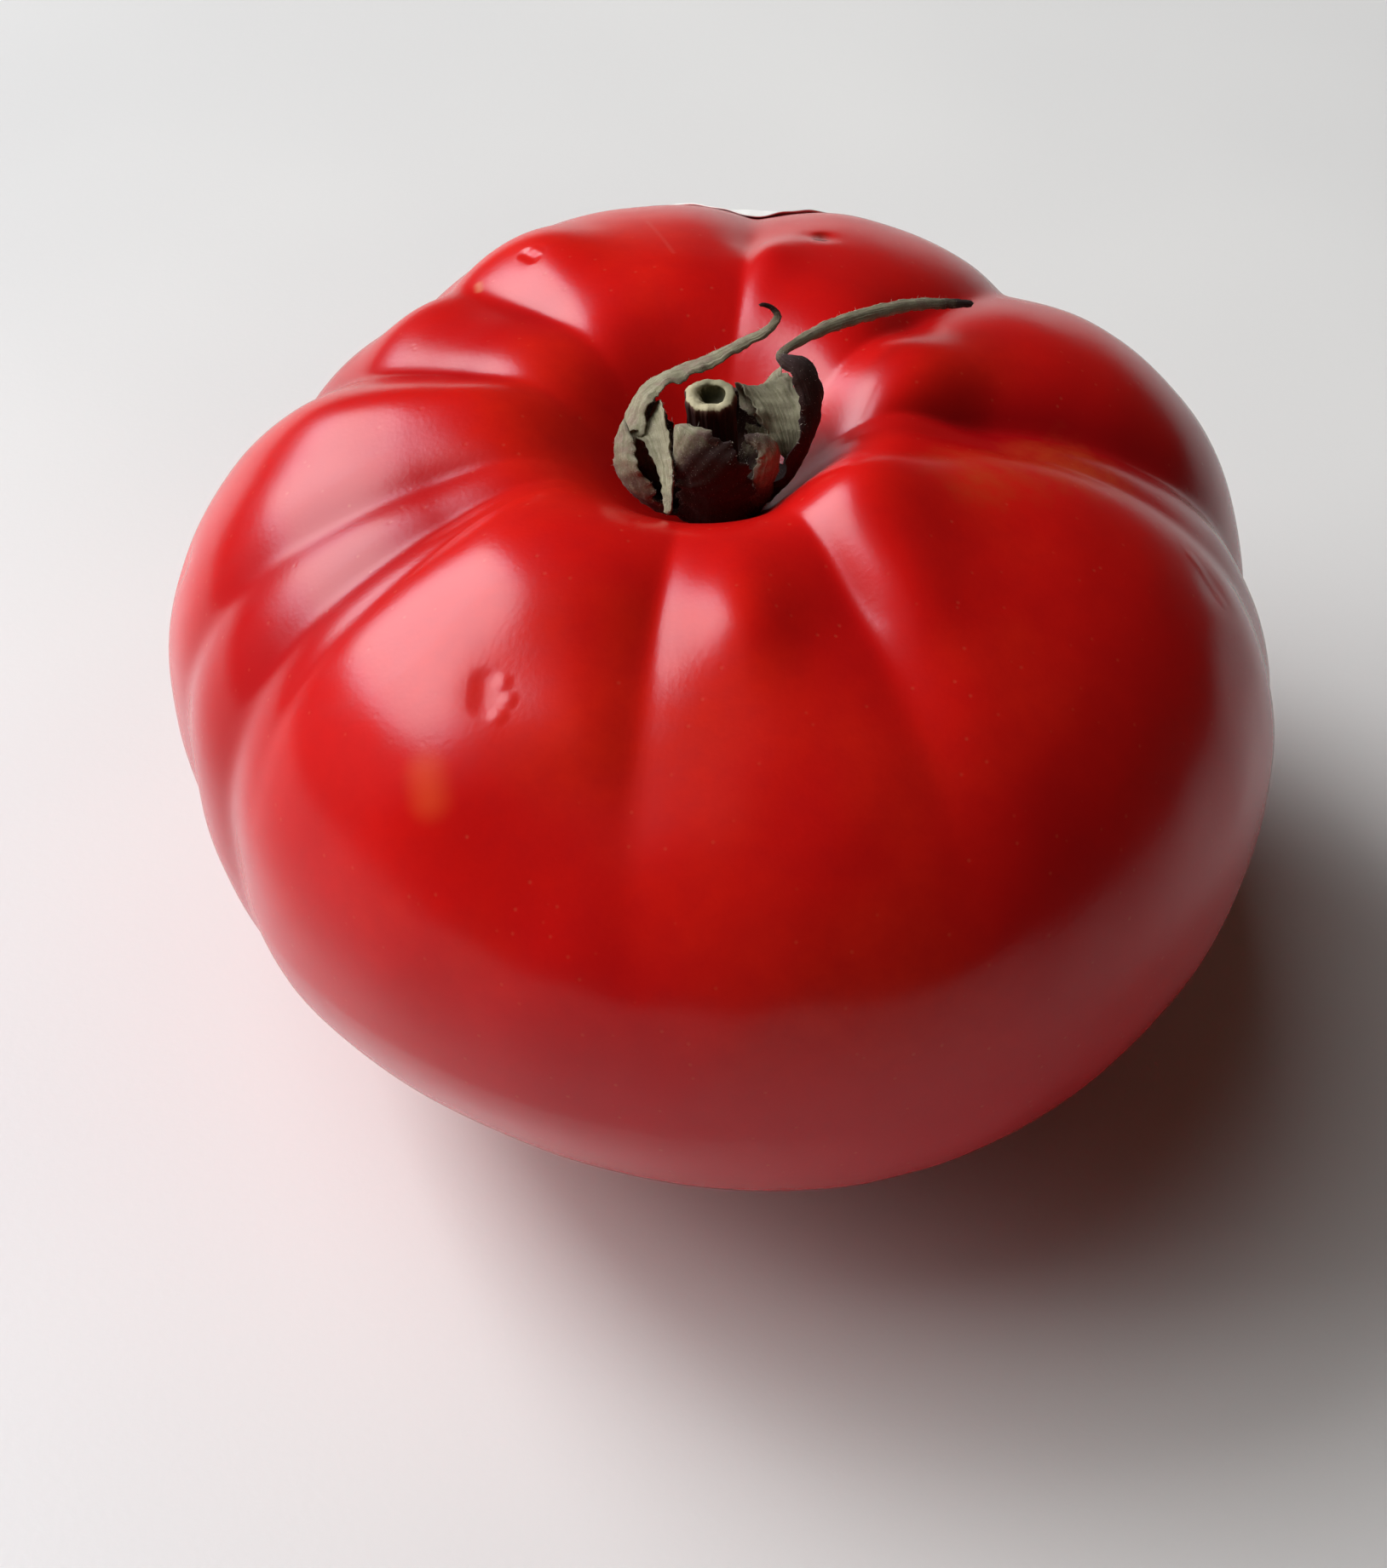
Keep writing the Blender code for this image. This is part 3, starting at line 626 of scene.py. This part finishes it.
round_angle, about = np.meshgrid(
    np.linspace(0.0, 2.0 * math.pi, CUP_ROWS, endpoint=False),
    np.linspace(0.0, 2.0 * math.pi, CUP_COLUMNS, endpoint=False),
    indexing="ij",
)
wave = 1.0 + waves_round(about, CUP_WAVES)
cup_radius = CUP_SECTION[0] + CUP_SECTION[2] * wave * np.cos(round_angle)
cup_height = CUP_SECTION[1] + CUP_SECTION[3] * wave * np.sin(round_angle)
cup_height = cup_height + CUP_SLOPE * (cup_radius - CUP_SECTION[0])
cup = np.stack([cup_radius * np.cos(about), cup_radius * np.sin(about), cup_height], -1) * MM + STEM_FLOOR
row, column = np.arange(CUP_ROWS)[:, None], np.arange(CUP_COLUMNS)
row_after, column_after = (row + 1) % CUP_ROWS * CUP_COLUMNS, (column + 1) % CUP_COLUMNS
row = row * CUP_COLUMNS
cup_quads = np.stack(
    [row + column, row + column_after, row_after + column_after, row_after + column], -1
)
points.append(cup.reshape(-1, 3))
colours.append(np.tile(CUP_TONE, (CUP_ROWS * CUP_COLUMNS, 1)))
quads.append(cup_quads.reshape(-1, 4) + count)
count += CUP_ROWS * CUP_COLUMNS
calyx = smooth_piece("calyx_sepals", np.vstack(points), np.vstack(quads), np.vstack(fans), dried)
paint(calyx, "withering_and_shade", np.vstack(colours))
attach(calyx, "root")
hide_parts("calyx")

# The down on the sepals: fine pale hairs, grown out of both faces of every blade. Each is a
# three-sided spike that bends once.
HAIRS_PER_SEPAL = 800
HAIR_THICKNESS, HAIR_LENGTHS = 0.032 * MM, (0.15, 0.55)
HAIR_SPLAY, HAIR_BEND, HAIR_KNEE, HAIR_SUNK = 0.45, 0.35, 0.55, 0.03 * MM  # the knee, share of length
KNEE_THICKNESS = 0.7
spikes = []
for grid in blades:
    station = draw.integers(4, BLADE_STATIONS - 3, HAIRS_PER_SEPAL)
    spoke = draw.integers(0, BLADE_SPOKES, HAIRS_PER_SEPAL)
    root = grid[station, spoke]
    ahead = grid[station + 1, spoke] - grid[station - 1, spoke]
    aside = grid[station, (spoke + 1) % BLADE_SPOKES] - grid[station, spoke - 1]
    out = np.cross(ahead, aside)
    out /= np.linalg.norm(out, axis=1, keepdims=True)
    lean = out + draw.normal(size=(HAIRS_PER_SEPAL, 3)) * HAIR_SPLAY
    lean /= np.linalg.norm(lean, axis=1, keepdims=True)
    long = draw.uniform(*HAIR_LENGTHS, HAIRS_PER_SEPAL)[:, None] * MM
    bend = lean + draw.normal(size=(HAIRS_PER_SEPAL, 3)) * HAIR_BEND
    sideways = np.cross(lean, out + 1e-3)
    sideways /= np.linalg.norm(sideways, axis=1, keepdims=True)
    third = np.cross(lean, sideways)
    corner = np.radians([0.0, 120.0, 240.0])[None, :, None]
    star = (sideways[:, None] * np.cos(corner) + third[:, None] * np.sin(corner)) * HAIR_THICKNESS / 2
    base = root[:, None] - lean[:, None] * HAIR_SUNK + star
    bent = root + lean * long * HAIR_KNEE
    knee = bent[:, None] + star * KNEE_THICKNESS
    tip = (bent + bend * long * (1.0 - HAIR_KNEE))[:, None]
    spikes.append(np.concatenate([base, knee, tip], axis=1))
spikes = np.concatenate(spikes)
first = np.arange(len(spikes))[:, None, None] * 7
walls = first + np.array([[0, 1, 4, 3], [1, 2, 5, 4], [2, 0, 3, 5]])
caps = first + np.array([[3, 4, 6], [4, 5, 6], [5, 3, 6], [0, 2, 1]])
hairs = smooth_piece("sepal_down", spikes, walls.reshape(-1, 4), caps.reshape(-1, 3), down_finish)
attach(hairs, "root")
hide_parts("calyx")

# The stub of the stalk: dry, ridged and dark brown, cut across, with a hollow where the pith was and
# a cream rim of wood round it.
STUB_ROWS, STUB_COLUMNS = 90, 96
STUB_LEAN = (2.0, -3.0)  # degrees about X and Y
STUB_PROFILE = (
    # radius mm, height mm, kind: 0 pith, 1 cut wood, 2 bark
    (0.02, 12.1, 0.0),
    (0.7, 12.25, 0.0),
    (1.05, 12.95, 0.5),
    (1.25, 13.40, 1.0),
    (1.80, 13.45, 1.0),
    (2.1, 13.10, 1.7),
    (2.02, 11.4, 2.0),
    (2.1, 7.0, 2.0),
    (2.4, 4.4, 2.0),
    (2.65, 2.8, 2.0),
    (2.4, 1.4, 2.0),
    (1.6, 0.8, 2.0),
    (0.05, 0.55, 2.0),
)
PITH_SHIFT = (0.30, 0.36)  # mm from the stub's axis
RIDGES, RIDGE_TWIST = ((11.0, 0.045), (26.0, 0.03)), 0.6  # times round, share; turn per mm of height
TORN_EDGE = ((2.0, 0.05, 1.0), (5.0, 0.03, 0.0), (11.0, 0.012, 2.0))  # times round, share, start
CUT_WAVES = ((3.0, 0.09, 0.0), (7.0, 0.04, 1.0))  # times round, mm, start
CUT_TILT, CUT_TILT_TOWARDS, CUT_HEIGHTS = 0.20, 1.9, (9.0, 13.5)  # mm, radians, mm
table = np.array(STUB_PROFILE, float)
profile = through(np.column_stack([table[:, :2], np.zeros(len(table)), table[:, 2]]), STUB_ROWS)
about = np.linspace(0.0, 2.0 * math.pi, STUB_COLUMNS, endpoint=False)[None]
kind = np.clip(profile[:, 3:4], 0.0, 2.0)
barked = ease(kind, 1.0, 2.0)
twist = RIDGE_TWIST * profile[:, 1:2]
ridge = barked * waves_round(about, ((*RIDGES[0], twist), (*RIDGES[1], 2.0)))
torn = waves_round(about, TORN_EDGE) * np.minimum(kind, 1.0) * (1.0 - barked)
stub_radius = np.maximum(profile[:, 0:1], 0.0) * (1.0 + ridge + torn)
tilt = CUT_TILT * np.cos(about - CUT_TILT_TOWARDS) + waves_round(about, CUT_WAVES)
stub_height = profile[:, 1:2] + tilt * ease(profile[:, 1:2], *CUT_HEIGHTS) * np.minimum(kind, 1.0)
hollow = ease(1.0 - kind, 0.0, 0.5)
stub_points = np.stack(
    np.broadcast_arrays(
        stub_radius * np.cos(about) + hollow * PITH_SHIFT[0],
        stub_radius * np.sin(about) + hollow * PITH_SHIFT[1],
        stub_height,
    ),
    -1,
)
stub_poles = np.array([[*PITH_SHIFT, profile[0, 1]], [0.0, 0.0, profile[-1, 1]]])
stub_points = np.vstack([stub_points.reshape(-1, 3), stub_poles]) * MM
about_x, about_y = (Matrix.Rotation(math.radians(lean), 3, axis) for lean, axis in zip(STUB_LEAN, "XY"))
stub_points = stub_points @ np.array(about_y @ about_x).T + STEM_FLOOR

PITH_DARK, PITH_OLIVE, CUT_CREAM = (0.030, 0.028, 0.012), (0.115, 0.092, 0.042), (0.60, 0.54, 0.36)
CUT_TAN, BARK_BROWN, BARK_DARK = (0.50, 0.44, 0.27), (0.100, 0.050, 0.032), (0.045, 0.016, 0.013)
RIM_OLIVE = (0.22, 0.21, 0.125)
bark, tree, shader, place = new_finish("stalk")
layers = step(tree, "ShaderNodeAttribute", attribute_name="layers").outputs["Color"]
layer = step(tree, "ShaderNodeSeparateColor", {"Color": layers}).outputs
fibre_place = step(tree, "ShaderNodeMapping", {"Vector": place, "Scale": (1.0, 1.0, 0.15)}).outputs["Vector"]
fibre = noise(tree, fibre_place, 2600.0, 4.0)
depth = worked(tree, "ADD", layer["Red"], worked(tree, "MULTIPLY_ADD", fibre, 0.5, -0.25))
stops = (0.10, PITH_DARK), (0.28, PITH_OLIVE), (0.40, CUT_CREAM), (0.62, CUT_TAN), (0.74, BARK_BROWN)
wood = tinted(tree, layer["Green"], bands(tree, depth, *stops, (0.95, BARK_DARK)), RIM_OLIVE)
feeds = {"Base Color": wood, "Roughness": 0.8, "Specular IOR Level": 0.3}
feed(tree, shader, feeds | {"Normal": bumped(tree, fibre, 0.7, 0.1 * MM)})

stub = smooth_piece("stem_stub_cut", stub_points, *pole_to_pole(STUB_ROWS, STUB_COLUMNS), bark)
# The cut wood is still greenish on one side: a bell of the kind about cut wood, eased in towards it.
GREEN_SHARE, GREEN_TOWARDS, GREEN_WIDTH = 0.75, 0.9, 0.7
green_rim = np.exp(-(((kind - 1.0) / GREEN_WIDTH) ** 2)) * GREEN_SHARE
green_rim = green_rim * ease(np.cos(about - GREEN_TOWARDS), -0.35, 0.45)
layer_values = np.stack(
    np.broadcast_arrays(kind / 2.0, green_rim, np.zeros_like(green_rim), np.ones_like(green_rim)), -1
)
paint(stub, "layers", np.vstack([layer_values.reshape(-1, 4), [[0.0, 0, 0, 1], [1.0, 0, 0, 1]]]))
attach(stub, "root")
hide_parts("stem_stub")

# The produce sticker: a blank oval of thin white plastic film, stuck to the skin at the back. It is
# pulled taut across a furrow, and its edges lift a little.
FILM_MIDDLE, FILM_SIZE, FILM_THICKNESS = (87.0, 64.5), (19.0 * MM, 16.0 * MM), 0.12 * MM
FILM_SINK, FILM_PRESSED = 0.30, (8.0, 3.5)  # share of a furrow's depth; degrees above the middle
FILM_GAP, EDGE_LIFT, CRINKLE_HEIGHT = 0.19 * MM, 0.22 * MM, 0.05 * MM
FILM_ROWS, FILM_COLUMNS = 60, 120
middle_azimuth, middle_polar = np.array(FILM_MIDDLE[0]), np.array(FILM_MIDDLE[1])
per_azimuth = np.linalg.norm(skin_points(middle_azimuth, middle_polar)[:2]) * math.radians(1.0)
per_polar = np.linalg.norm(
    skin_points(middle_azimuth, middle_polar + 0.5) - skin_points(middle_azimuth, middle_polar - 0.5)
)
half = FILM_ROWS // 2
share = np.concatenate([np.linspace(0.03, 1.0, half), np.linspace(1.0, 0.03, half)])[:, None]
outer_face = np.concatenate([np.ones(half), np.zeros(half)])[:, None]
about = np.linspace(0.0, 2.0 * math.pi, FILM_COLUMNS, endpoint=False)[None]


def film_points(share, about, outer_face):
    """The skin, at share of the way out to the oval's edge, raised along the normal by a gap, a lift
    at the edge, a crinkle and, on the outer face, the thickness. The furrow is whole along the upper
    edge, where the film is pressed into it, and only as deep as the film's sink where it spans it."""
    across = FILM_MIDDLE[0] + share * FILM_SIZE[0] / 2 * np.cos(about) / per_azimuth
    low = FILM_MIDDLE[1] - share * FILM_SIZE[1] / 2 * np.sin(about) / per_polar
    edge = EDGE_LIFT * ease(share, 0.80, 1.0) * (1.0 + 0.6 * np.sin(3.0 * about + 0.5))
    crinkle = CRINKLE_HEIGHT * np.sin(20.0 * share * np.cos(about) + 3.0 * share * np.sin(about)) * share
    up = (FILM_GAP + edge + crinkle + FILM_THICKNESS * outer_face)[..., None]
    sink = 1.0 - (1.0 - FILM_SINK) * ease(FILM_MIDDLE[1] - low, *FILM_PRESSED)
    return skin_points(across, low, sink) + skin_normals(across, low) * up


film_grid = film_points(share, about, outer_face)
film_poles = np.stack([film_grid[0].mean(axis=0), film_grid[-1].mean(axis=0)])
FILM_GREY, FILM_WHITE = (0.86, 0.85, 0.82), (0.93, 0.93, 0.91)
film_finish, tree, shader, place = new_finish("blank_film")
cloud = noise(tree, place, 260.0, 3.0)
feeds = {"Base Color": bands(tree, cloud, (0.30, FILM_GREY), (0.60, FILM_WHITE))}
feeds |= {"Roughness": spread(tree, cloud, 0.3, 0.7, 0.55, 0.70), "Specular IOR Level": 0.15}
feeds |= {"Normal": bumped(tree, noise(tree, place, 900.0), 0.3, 0.05 * MM)}
feed(tree, shader, feeds)
film = smooth_piece(
    "sticker_film",
    np.vstack([film_grid.reshape(-1, 3), film_poles]),
    *pole_to_pole(FILM_ROWS, FILM_COLUMNS),
    film_finish,
)
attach(film, "root")
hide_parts("sticker")

# The table: a plain painted top, pale and faintly uneven in tone, that mirrors a little. It is the
# stage that the fruit stands on and isn't part of the tomato.
TABLE_SPAN, TABLE_CELLS = 4.0, 40
edge = np.linspace(-TABLE_SPAN / 2, TABLE_SPAN / 2, TABLE_CELLS + 1)
table_x, table_y = np.meshgrid(edge, edge)
table_points = np.stack([table_x, table_y, np.zeros_like(table_x)], -1)
cell = np.arange(TABLE_CELLS) + np.arange(TABLE_CELLS)[:, None] * (TABLE_CELLS + 1)
table_quads = np.stack([cell, cell + 1, cell + TABLE_CELLS + 2, cell + TABLE_CELLS + 1], -1)
TABLE_GREY, TABLE_WHITE = (0.79, 0.79, 0.79), (0.84, 0.84, 0.835)
table_finish, tree, shader, place = new_finish("pale_table")
table_colour = bands(tree, noise(tree, place, 9.0), (0.35, TABLE_GREY), (0.65, TABLE_WHITE))
tooth = bumped(tree, noise(tree, place, 1200.0), 0.15, 0.1 * MM)
feed(tree, shader, {"Base Color": table_colour, "Roughness": 0.45, "Normal": tooth})
table_top = smooth_piece(
    "table_top", table_points, table_quads.reshape(-1, 4), np.zeros((0, 3), int), table_finish
)

# The light: a tall soft window at the back left, the pale left side of the room with its ceiling, and
# a dim brown rest. The window leans in what the skin mirrors of it, and its glare is only mirrored.
LAMP_DISTANCE, LAMP_AIM = 2.2, Vector((0.0, 0.0, 0.04))
LAMPS = (
    # name, shape, azimuth, elevation, lean, width m, length m, power W, colour, lights, is mirrored
    ("window", "RECTANGLE", 147.0, 42.0, 38.0, 0.8, 1.75, 33.0, (1.0, 1.0, 1.0), True, True),
    ("window_glare", "ELLIPSE", 147.0, 42.0, 38.0, 1.15, 2.2, 43.0, (0.88, 0.95, 1.22), False, True),
    ("left_wall", "RECTANGLE", 175.0, 28.0, 0.0, 1.4, 2.0, 33.0, (1.0, 1.0, 1.0), True, False),
    ("ceiling", "RECTANGLE", 180.0, 65.0, 0.0, 1.6, 1.6, 12.5, (1.0, 1.0, 1.0), True, False),
)
for name, shape, azimuth_at, elevation_at, lean_at, width, length, power, colour, lights, mirrored in LAMPS:
    turn, rise, lean = math.radians(azimuth_at), math.radians(elevation_at), math.radians(lean_at)
    towards = Vector((math.cos(rise) * math.cos(turn), math.cos(rise) * math.sin(turn), math.sin(rise)))
    level = Vector((-math.sin(turn), math.cos(turn), 0.0))
    long_way = towards.cross(level) * math.cos(lean) + level * math.sin(lean)
    glow = bpy.data.lights.new(name, "AREA")
    glow.shape, glow.size, glow.size_y, glow.energy, glow.color = shape, width, length, power, colour
    lamp = bpy.data.objects.new(name, glow)
    set_square = Matrix((long_way.cross(towards), long_way, towards)).transposed().to_4x4()
    set_square.translation = LAMP_AIM + towards * LAMP_DISTANCE
    lamp.matrix_world = set_square
    lamp.visible_glossy = mirrored
    lamp.visible_diffuse = lamp.visible_transmission = lights
    bpy.context.scene.collection.objects.link(lamp)
room = bpy.data.worlds.new("room")
room.use_nodes = True
feed(room.node_tree, room.node_tree.nodes["Background"], {"Color": (0.030, 0.026, 0.018, 1.0)})
bpy.context.scene.world = room
bpy.context.scene.view_settings.view_transform = "Standard"

# The camera: held close, in front of the fruit and above it, and looking down at its stem end. Its
# place and tilt were fitted to the outline, the furrows and the highlights.
LOOK_AT = Vector((-5.141, -13.531, 30.77)) * MM
CAMERA_ELEVATION, CAMERA_ROLL, CAMERA_DISTANCE = math.radians(44.798), math.radians(0.621), 240.0 * MM
back = Vector((0.0, -math.cos(CAMERA_ELEVATION), math.sin(CAMERA_ELEVATION)))
level_right = Vector((1.0, 0.0, 0.0))
level_up = back.cross(level_right)
right = level_right * math.cos(CAMERA_ROLL) + level_up * math.sin(CAMERA_ROLL)
up = level_up * math.cos(CAMERA_ROLL) - level_right * math.sin(CAMERA_ROLL)
lens = bpy.data.cameras.new("camera")
lens.sensor_fit, lens.sensor_height, lens.lens, lens.clip_start = "VERTICAL", 36.0, 59.62, 0.01
camera = bpy.data.objects.new("camera", lens)
seen_from = Matrix((right, up, back)).transposed().to_4x4()
seen_from.translation = LOOK_AT + back * CAMERA_DISTANCE
camera.matrix_world = seen_from
bpy.context.scene.collection.objects.link(camera)
bpy.context.scene.camera = camera
